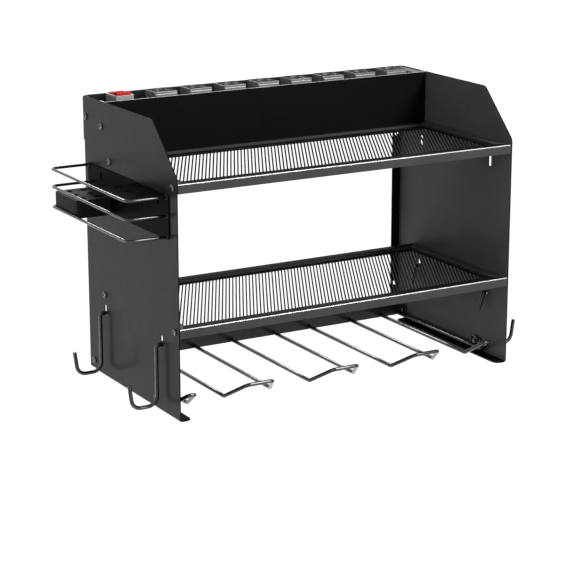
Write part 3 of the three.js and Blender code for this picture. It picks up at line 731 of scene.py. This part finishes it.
def rack_wire(name, left, right, bar_left, bar_right, bar_radius):
    """A hairpin from the lower rail forwards, up over the bar and back."""
    low, high = GROUND + RACK_HEIGHT, GROUND + RACK_BAR_HEIGHT
    return wire_mesh(name, [
        (left, rail_face(), low, 0),
        (left, RACK_BEND_Y, low, RACK_BEND_RADIUS),
        (bar_left, RACK_BAR_Y, high, bar_radius),
        (bar_right, RACK_BAR_Y, high, bar_radius),
        (right, RACK_BEND_Y, low, RACK_BEND_RADIUS),
        (right, rail_face(), low, 0),
    ], RACK_WIRE)


def tab_mesh(name, side):
    """The round-cornered tab that stands against a panel at the end of the rack."""
    y_low, y_high = TAB_Y - TAB_LENGTH / 2, TAB_Y + TAB_LENGTH / 2
    z_low, z_high = GROUND + TAB_LOW, GROUND + TAB_TOP
    outline = []
    for y, z, quarter in (
        (y_low + TAB_ROUND, z_low + TAB_ROUND, 2), (y_high - TAB_ROUND, z_low + TAB_ROUND, 3),
        (y_high - TAB_ROUND, z_high - TAB_ROUND, 0), (y_low + TAB_ROUND, z_high - TAB_ROUND, 1),
    ):
        for step in range(BEND_STEPS + 1):
            angle = math.pi / 2 * (quarter + step / BEND_STEPS)
            outline.append((y + TAB_ROUND * math.cos(angle), z + TAB_ROUND * math.sin(angle)))
    face = side * SHELF_HALF
    return prism(name, outline, *sorted((face, face - side * TAB_THICKNESS)))


def rack():
    """Three wide hairpins, and a narrow one with a screwed tab beside each panel."""
    for index, word in enumerate(("left", "middle", "right")):
        x = (index - 1) * RACK_PITCH
        half, bar_half = RACK_LOOP_WIDTH / 2, RACK_BAR_WIDTH / 2
        name = f"rack_{word}_loop"
        mesh = rack_wire(
            name + "_shape", x - half, x + half, x - bar_half, x + bar_half, RACK_BAR_BEND_RADIUS)
        add(name + "_shape", mesh, WIRE, [name])
    for word, side in SIDES.items():
        name = f"rack_{word}_end_loop"
        outer, inner, bar_outer, bar_inner = (
            side * (HALF_WIDTH - across) for across in (
                RACK_END_OUTER, RACK_END_INNER, RACK_END_BAR_OUTER, RACK_END_BAR_INNER))
        wire = rack_wire(
            name + "_wire", outer, inner, bar_outer, bar_inner, RACK_END_BEND_RADIUS)
        mesh = joined(name + "_shape", wire, tab_mesh(name + "_tab", side))
        add(name + "_shape", mesh, WIRE, [name])


def hooks():
    """A J hook in each of the four slots, its tail behind the panel and its neck through it."""
    for word, side in SIDES.items():
        for place in ("front", "rear"):
            name = f"{word}_{place}_hook"
            low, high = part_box(name)
            y = (low.y + high.y) / 2
            bottom = low.z + RACK_WIRE / 2
            neck = bottom + HOOK_NECK_RISE
            tail = -SHEET - HOOK_TAIL_IN
            corners = [
                (tail - HOOK_TAIL_SPLAY, neck - HOOK_TAIL_DROP, 0),
                (tail, neck, HOOK_NECK_RADIUS),
                (HOOK_LEG_OUT, neck, HOOK_NECK_RADIUS),
                (HOOK_LEG_OUT, bottom, HOOK_BEND_RADIUS),
                (HOOK_REACH, bottom, HOOK_BEND_RADIUS),
                (HOOK_TIP_OUT, bottom + HOOK_TIP_RISE, 0),
            ]
            mesh = wire_mesh(name + "_shape", [
                (side * (HALF_WIDTH + out), y, z, radius) for out, z, radius in corners
            ], RACK_WIRE)
            add(name + "_shape", mesh, WIRE, [name])


def weld_beads(name, spots, direction, radius, body):
    """Uneven rings of weld metal at the spots where wires of one direction meet sheet."""
    chance = random.Random(BEAD_SEED)
    inside, spread = radius - CLEARANCE, BEAD_SPREAD + CLEARANCE
    profile = [
        (inside + spread * math.cos(turn), BEAD_HEIGHT * math.sin(turn))
        for turn in (math.pi / 2 * step / BEAD_STEPS for step in range(BEAD_STEPS + 1))
    ]
    facing = Vector((1, 0, 0)).rotation_difference(Vector(direction)).to_matrix().to_4x4()
    beads = []
    for index, spot in enumerate(spots):
        draws = [chance.uniform(-BEAD_WOBBLE, BEAD_WOBBLE) for _ in range(BEAD_SIDES)]
        wobble = [(draws[i] + draws[i - 1] + draws[i - 2]) / 2 for i in range(BEAD_SIDES)]
        bead = from_faces(f"{name}_{index}", *turned(profile, BEAD_SIDES, wobble))
        bead.transform(Matrix.Translation(spot) @ facing)
        beads.append(bead)
    add(name, joined(name, *beads), COAT, [], body=body)


def rack_welds():
    """Beads where the rack's wires meet the lower rail."""
    across = [
        (index - 1) * RACK_PITCH + side * RACK_LOOP_WIDTH / 2
        for index in range(3) for side in (-1, 1)
    ]
    across += [side * (HALF_WIDTH - RACK_END_INNER) for side in (-1, 1)]
    spots = [(x, rail_face(), GROUND + RACK_HEIGHT) for x in across]
    weld_beads(
        "rack_welds", spots, direction=(0, -1, 0), radius=RACK_WIRE / 2,
        body=body_of("lower_rail"))


def caddy():
    """Caddy wires from the plate out, along and back, with their welds."""
    start = -HALF_WIDTH - CLEARANCE - SHEET
    spots = []
    for word in ("top", "middle", "bottom"):
        name = f"caddy_{word}_wire"
        low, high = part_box(name)
        z = (low.z + high.z) / 2
        outer = low.x + CADDY_WIRE / 2
        near, far = low.y + CADDY_WIRE / 2, high.y - CADDY_WIRE / 2
        mesh = wire_mesh(name + "_shape", [
            (start, near, z, 0), (outer, near, z, CADDY_BEND_RADIUS),
            (outer, far, z, CADDY_BEND_RADIUS), (start, far, z, 0),
        ], CADDY_WIRE)
        add(name + "_shape", mesh, WIRE, [name])
        spots += [(start, near, z), (start, far, z)]
    weld_beads(
        "caddy_welds", spots, direction=(-1, 0, 0), radius=CADDY_WIRE / 2,
        body=body_of("caddy_back_plate"))


def rocker_body():
    """A bar with round ends and a hollow top about the pivot, its length along y."""
    end_turn = math.asin(ROCKER_HALF_THICKNESS / ROCKER_RADIUS)
    tip = ROCKER_RADIUS * math.cos(end_turn)
    outline = []
    for side in (1, -1):
        for step in range(BEND_STEPS + 1):
            turn = end_turn * (2 * step / BEND_STEPS - 1) * side
            outline.append((side * ROCKER_RADIUS * math.cos(turn), ROCKER_RADIUS * math.sin(turn)))
        if side > 0:
            for step in range(1, BEND_STEPS):
                along = tip * (1 - 2 * step / BEND_STEPS)
                hollow = ROCKER_DIP * (1 - (along / tip) ** 2)
                outline.append((along, ROCKER_HALF_THICKNESS - hollow))
    return prism("rocker_body", outline, -ROCKER_WIDTH / 2, ROCKER_WIDTH / 2)


def rocker_marks():
    """A raised bar on the front half of the rocker and a raised ring on its rear half."""
    lean = math.atan2(2 * ROCKER_DIP * MARK_PLACE, ROCKER_RADIUS ** 2)
    height = ROCKER_HALF_THICKNESS - ROCKER_DIP * (1 - (MARK_PLACE / ROCKER_RADIUS) ** 2)
    work = bmesh.new()
    block(work, Vector((0, -MARK_PLACE, height)), (MARK_LENGTH, MARK_LINE, 2 * MARK_RISE))
    bmesh.ops.rotate(
        work, verts=work.verts, cent=(0, -MARK_PLACE, height),
        matrix=Matrix.Rotation(-lean, 3, "X"))
    bar = made("rocker_bar", work)
    outer = MARK_LENGTH / 2
    inner = outer - MARK_LINE
    profile = [
        (outer, -MARK_RISE), (outer, MARK_RISE), (inner, MARK_RISE), (inner, MARK_RISE / 2)]
    ring = from_faces("rocker_ring", *turned(profile, SCREW_SIDES))
    ring.transform(
        Matrix.Translation((0, MARK_PLACE, height)) @ Matrix.Rotation(lean, 4, "X")
        @ Matrix.Rotation(-math.pi / 2, 4, "Y"))
    return [bar, ring]


def rocker():
    """The red rocker, tipped with its front half up."""
    low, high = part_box("switch_bezel")
    middle = (low + high) / 2
    mesh = joined("switch_rocker_shape", rocker_body(), *rocker_marks())
    mesh.transform(
        Matrix.Translation((middle.x, middle.y, high.z - ROCKER_PIVOT_DROP))
        @ Matrix.Rotation(ROCKER_TILT, 4, "X"))
    add("switch_rocker_shape", mesh, RED, ["switch_rocker"], bevel=THIN_ROUND)


def contacts():
    """Sprung brass leaves inside each outlet's slots, and a cup in its earth hole."""
    inner = EARTH_RADIUS - LEAF_THICKNESS
    profile = [
        (EARTH_RADIUS, -LEAF_HEIGHT), (EARTH_RADIUS, 0), (inner, 0),
        (inner, LEAF_THICKNESS - LEAF_HEIGHT),
    ]
    for node in OUTLETS:
        low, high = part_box(node)
        middle = (low + high) / 2
        blade_y = middle.y - BLADE_FORWARD
        work = bmesh.new()
        for side in (-1, 1):
            for leaf in (-1, 1):
                place = Vector((
                    middle.x + side * BLADE_SPACING / 2 + leaf * LEAF_APART / 2, blade_y,
                    high.z - CONTACT_TOP - LEAF_HEIGHT / 2))
                block(work, place, (LEAF_THICKNESS, LEAF_LENGTH, LEAF_HEIGHT))
        leaves = made(node + "_leaves", work)
        cup = from_faces(node + "_cup", *turned(profile, SCREW_SIDES))
        cup.transform(
            Matrix.Translation((middle.x, blade_y + EARTH_BACK, high.z - CONTACT_TOP))
            @ Matrix.Rotation(-math.pi / 2, 4, "Y"))
        mesh = joined(node + "_contacts", leaves, cup)
        add(node + "_contacts", mesh, BRASS, [], body=body_of(node))


def gland():
    """The plastic bush in the right panel, where a cord would leave."""
    dressed("cord_gland", BLACK_PLASTIC, GLAND_ROUND, FINE_ROUND_STEPS)


def shelf_section():
    """Section of a shelf's rim: each point is (rectangle it belongs to, distance, height).
    Distances run inwards from the shelf's outline, outwards from the window's."""
    def fold(radius):
        return [
            ("outline", LIP_ROUND - radius * math.cos(turn), radius * math.sin(turn) - LIP_ROUND)
            for turn in (math.pi / 2 * step / BEND_STEPS for step in range(BEND_STEPS + 1))
        ]
    outside = [("outline", 0, -LIP_HEIGHT), *fold(LIP_ROUND)]
    window = [("window", RIM_ROUND, 0), ("window", 0, -RIM_ROUND), ("window", 0, -INNER_LIP)]
    below = [("window", SHEET, -INNER_LIP), ("window", SHEET, -SHEET)]
    inside = [*fold(LIP_ROUND - SHEET)[::-1], ("outline", SHEET, -LIP_HEIGHT)]
    return outside + window + below + inside


def shelf_frame(node):
    """The folded rim of a shelf, with a lip outside and a lower one round its window."""
    low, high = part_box(node)
    points = []
    section = shelf_section()
    for owner, distance, height in section:
        if owner == "outline":
            sides = (low.x + distance, high.x - distance, low.y + distance, high.y - distance)
        else:
            sides = (
                low.x + RIM_SIDE - distance, high.x - RIM_SIDE + distance,
                low.y + RIM_FRONT - distance, high.y - RIM_REAR + distance)
        left, right, front, rear = sides
        points += [
            (x, y, high.z + height)
            for x, y in ((left, front), (right, front), (right, rear), (left, rear))]
    faces = []
    for place in range(len(section)):
        after = (place + 1) % len(section)
        faces += band(place * CORNERS, after * CORNERS, CORNERS)
    mesh = from_faces(node + "_shape", points, faces)
    rim = add(node + "_shape", mesh, PAINTED_LIGHT_SHELF_COAT, [node], bevel=THIN_ROUND)
    # Painted shade: a near-black copy of the coat on the rim's top between the side rims. Painted
    # highlight: a light grey copy on the front fold of the lip.
    refinished(
        rim, PAINTED_SHADE_COAT,
        lambda face: face.normal.z > FOLD_SHARE and abs(face.center.x) < SHELF_HALF - RIM_SIDE)
    refinished(
        rim, PAINTED_HIGHLIGHT_COAT,
        lambda face: face.normal.y < -FOLD_SHARE and face.normal.z > FOLD_SHARE
        and face.center.y < low.y + LIP_ROUND)


def sheet_parts():
    """Panels, shelf frames, rails and plates. Panel edges carry painted shade and inner faces
    painted light; the back plate and caddy plates carry painted shade, the back plate's top and
    edges a painted highlight.
    """
    for word, side in SIDES.items():
        # Painted shade on the panels' edges and flanges, painted light on their inner faces
        panel = dressed(
            f"{word}_side_panel", COAT, PANEL_ROUND, join_flats=False,
            edge=PAINTED_SHADE_COAT)
        refinished(panel, PAINTED_SHADE_COAT, lambda face: abs(face.normal.x) < EDGE_SHARE)
        refinished(panel, PAINTED_LIGHT_INNER_COAT, lambda face: face.normal.x * side < -EDGE_SHARE)
    for node in ("top_shelf_frame", "middle_shelf_frame"):
        shelf_frame(node)
    for node in ("wall_rail", "lower_rail"):
        dressed(node, COAT, THIN_ROUND)
    # Back plate in painted shade, with a painted highlight on its top faces and edge roundings
    back = dressed("back_plate", PAINTED_SHADE_COAT, BACK_PLATE_ROUND, edge=PAINTED_HIGHLIGHT_COAT)
    refinished(back, PAINTED_HIGHLIGHT_COAT, lambda face: face.normal.z > UP_SHARE)
    # Caddy plates in the near-black copy of the coat, painted shade
    for node in ("caddy_top_plate", "caddy_back_plate"):
        dressed(node, PAINTED_SHADE_COAT, THIN_ROUND)


def shelf_mesh(node):
    """The slotted field of a shelf: a border, and fine round-edged bars that run slanting."""
    low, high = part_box(node)
    middle, size = (low + high) / 2, high - low
    work = bmesh.new()
    for side in (-1, 1):
        block(work, middle + Vector((side * (size.x - MESH_BORDER) / 2, 0, 0)),
              (MESH_BORDER, size.y, size.z))
        block(work, middle + Vector((0, side * (size.y - MESH_BORDER) / 2, 0)),
              (size.x - 2 * MESH_BORDER, MESH_BORDER, size.z))
    slope = math.tan(MESH_TURN)
    pitch = MESH_PITCH / math.cos(MESH_TURN)
    count = int((size.x - 2 * MESH_BORDER + (size.y - 2 * MESH_BORDER) * slope) / pitch)
    reach = Vector((size.x - MESH_BORDER, size.y - MESH_BORDER)) / 2
    for index in range(count + 1):
        across = (index - count / 2) * pitch
        front = max(-reach.y, (-reach.x - across) / slope)
        rear = min(reach.y, (reach.x - across) / slope)
        if rear - front < MESH_SHORTEST:
            continue
        along = (front + rear) / 2
        block(
            work, middle + Vector((across + along * slope, along, 0)),
            (MESH_PITCH - MESH_SLOT, (rear - front) / math.cos(MESH_TURN), size.z - 2 * MESH_SINK),
            -MESH_TURN)
    mesh = made(node + "_shape", work)
    # The slotted field is drawn in the near-black copy of the coat, painted shade
    add(node + "_shape", mesh, PAINTED_SHADE_COAT, [node], bevel=MESH_ROUND)


def power_strip():
    """The strip's housing with a lighter end plate, its outlets, and the switch's frame."""
    housing = dressed(
        "power_strip_housing", BLACK_PLASTIC, HOUSING_ROUND, FINE_ROUND_STEPS)
    plate_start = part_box(OUTLETS[-1])[1].x + PLATE_GAP
    refinished(housing, STRIP_PLASTIC, lambda face: face.center.x > plate_start)
    for node in OUTLETS:
        # Outlets: painted highlight on their rounded edges and painted shade on their top faces
        outlet = dressed(
            node, STRIP_PLASTIC, BLOCK_ROUND, FINE_ROUND_STEPS, edge=STRIP_PAINTED_HIGHLIGHT)
        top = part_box(node)[1].z - TOP_FACE_DEPTH
        refinished(
            outlet, STRIP_PAINTED_SHADE_TOP, lambda face: face.normal.z > UP_SHARE and face.center.z > top)
    dressed("switch_bezel", BEZEL, BLOCK_ROUND, FINE_ROUND_STEPS)


def bit_block():
    """The block in the caddy with holes for drill bits."""
    dressed("caddy_bit_block", BLACK_PLASTIC, BLOCK_ROUND, FINE_ROUND_STEPS)


def seen_directly(tree):
    """1 for rays from the camera, and for those that gloss or glass sends on."""
    path = tree.nodes.new("ShaderNodeLightPath")
    total = path.outputs["Is Camera Ray"]
    for output in ("Is Glossy Ray", "Is Transmission Ray"):
        most = tree.nodes.new("ShaderNodeMath")
        most.operation = "MAXIMUM"
        tree.links.new(total, most.inputs[0])
        tree.links.new(path.outputs[output], most.inputs[1])
        total = most.outputs[0]
    return total


def world():
    """White all round, and a softer white that lights the object."""
    sky = bpy.data.worlds.new("studio")
    bpy.context.scene.world = sky
    sky.use_nodes = True
    tree = sky.node_tree
    background = tree.nodes["Background"]
    background.inputs["Color"].default_value = (1, 1, 1, 1)
    strength = tree.nodes.new("ShaderNodeMapRange")
    strength.inputs["To Min"].default_value = SKY_STRENGTH
    strength.inputs["To Max"].default_value = 1
    tree.links.new(seen_directly(tree), strength.inputs["Value"])
    tree.links.new(strength.outputs["Result"], background.inputs["Strength"])


def floor():
    """A plain pale floor far below, as under a wall; it keeps the object's shadow."""
    points = [(x * FLOOR_HALF, y * FLOOR_HALF, GROUND - FLOOR_DROP)
              for x, y in ((-1, -1), (1, -1), (1, 1), (-1, 1))]
    mesh = from_faces("floor", points, [(0, 1, 2, 3)])
    piece = new_object("floor", mesh)
    material = bpy.data.materials.new("floor_paint")
    material.use_nodes = True
    tree = material.node_tree
    bsdf = tree.nodes["Principled BSDF"]
    bsdf.inputs["Base Color"].default_value = (*FLOOR_COLOR, 1)
    bsdf.inputs["Roughness"].default_value = FLOOR_ROUGHNESS
    bsdf.inputs["Emission Color"].default_value = (1, 1, 1, 1)
    light = tree.nodes.new("ShaderNodeMath")
    light.operation = "MULTIPLY"
    light.inputs[1].default_value = FLOOR_CAMERA_LIGHT
    tree.links.new(seen_directly(tree), light.inputs[0])
    tree.links.new(light.outputs[0], bsdf.inputs["Emission Strength"])
    mesh.materials.append(material)


def lamp(name, direction, width, height, power, roll=0.0):
    """A soft box that faces the object from the given direction, rolled about it."""
    data = bpy.data.lights.new(name, "AREA")
    data.shape = "RECTANGLE"
    data.size = width
    data.size_y = height
    data.energy = power
    piece = new_object(name, data)
    way = Vector(direction).normalized()
    piece.location = LAMP_TARGET + way * LAMP_DISTANCE
    turned_to = way.to_track_quat("Z", "Y") @ Quaternion((0, 0, 1), roll)
    piece.rotation_euler = turned_to.to_euler()


def lamps():
    """A long key lamp above, and weaker ones that fill the front, the left side and the rear."""
    lamp(
        "top_soft_box", direction=(0.43, -0.62, 0.655), width=0.7, height=2.1, power=104,
        roll=TOP_LAMP_ROLL)
    lamp("front_soft_box", direction=(-0.25, -0.85, 0.45), width=1.4, height=1.0, power=4)
    lamp("low_soft_box", direction=(0.48, -0.83, -0.22), width=1.4, height=1.2, power=11)
    lamp("left_soft_box", direction=(-0.95, -0.25, 0.30), width=1.2, height=1.0, power=8)
    lamp(
        "left_low_soft_box", direction=(-0.906, 0.33, -0.264), width=0.4, height=1.0, power=14)
    lamp("rear_soft_box", direction=(0.10, 0.84, 0.52), width=0.8, height=0.35, power=16)


def camera():
    """The camera, level from side to side."""
    data = bpy.data.cameras.new("camera")
    data.lens = CAMERA_LENS
    data.sensor_width = CAMERA_SENSOR
    piece = new_object("camera", data)
    piece.location = CAMERA_PLACE
    piece.rotation_euler = (math.pi / 2 - CAMERA_ELEVATION, 0, -CAMERA_AZIMUTH)
    bpy.context.scene.camera = piece


sheet_parts()
shelf_mesh("top_shelf_mesh")
shelf_mesh("middle_shelf_mesh")
power_strip()
bit_block()
contacts()
rocker()
gland()
rack()
rack_welds()
hooks()
caddy()
place_screws()
floor()
world()
lamps()
camera()
bpy.context.scene.view_settings.view_transform = "Standard"
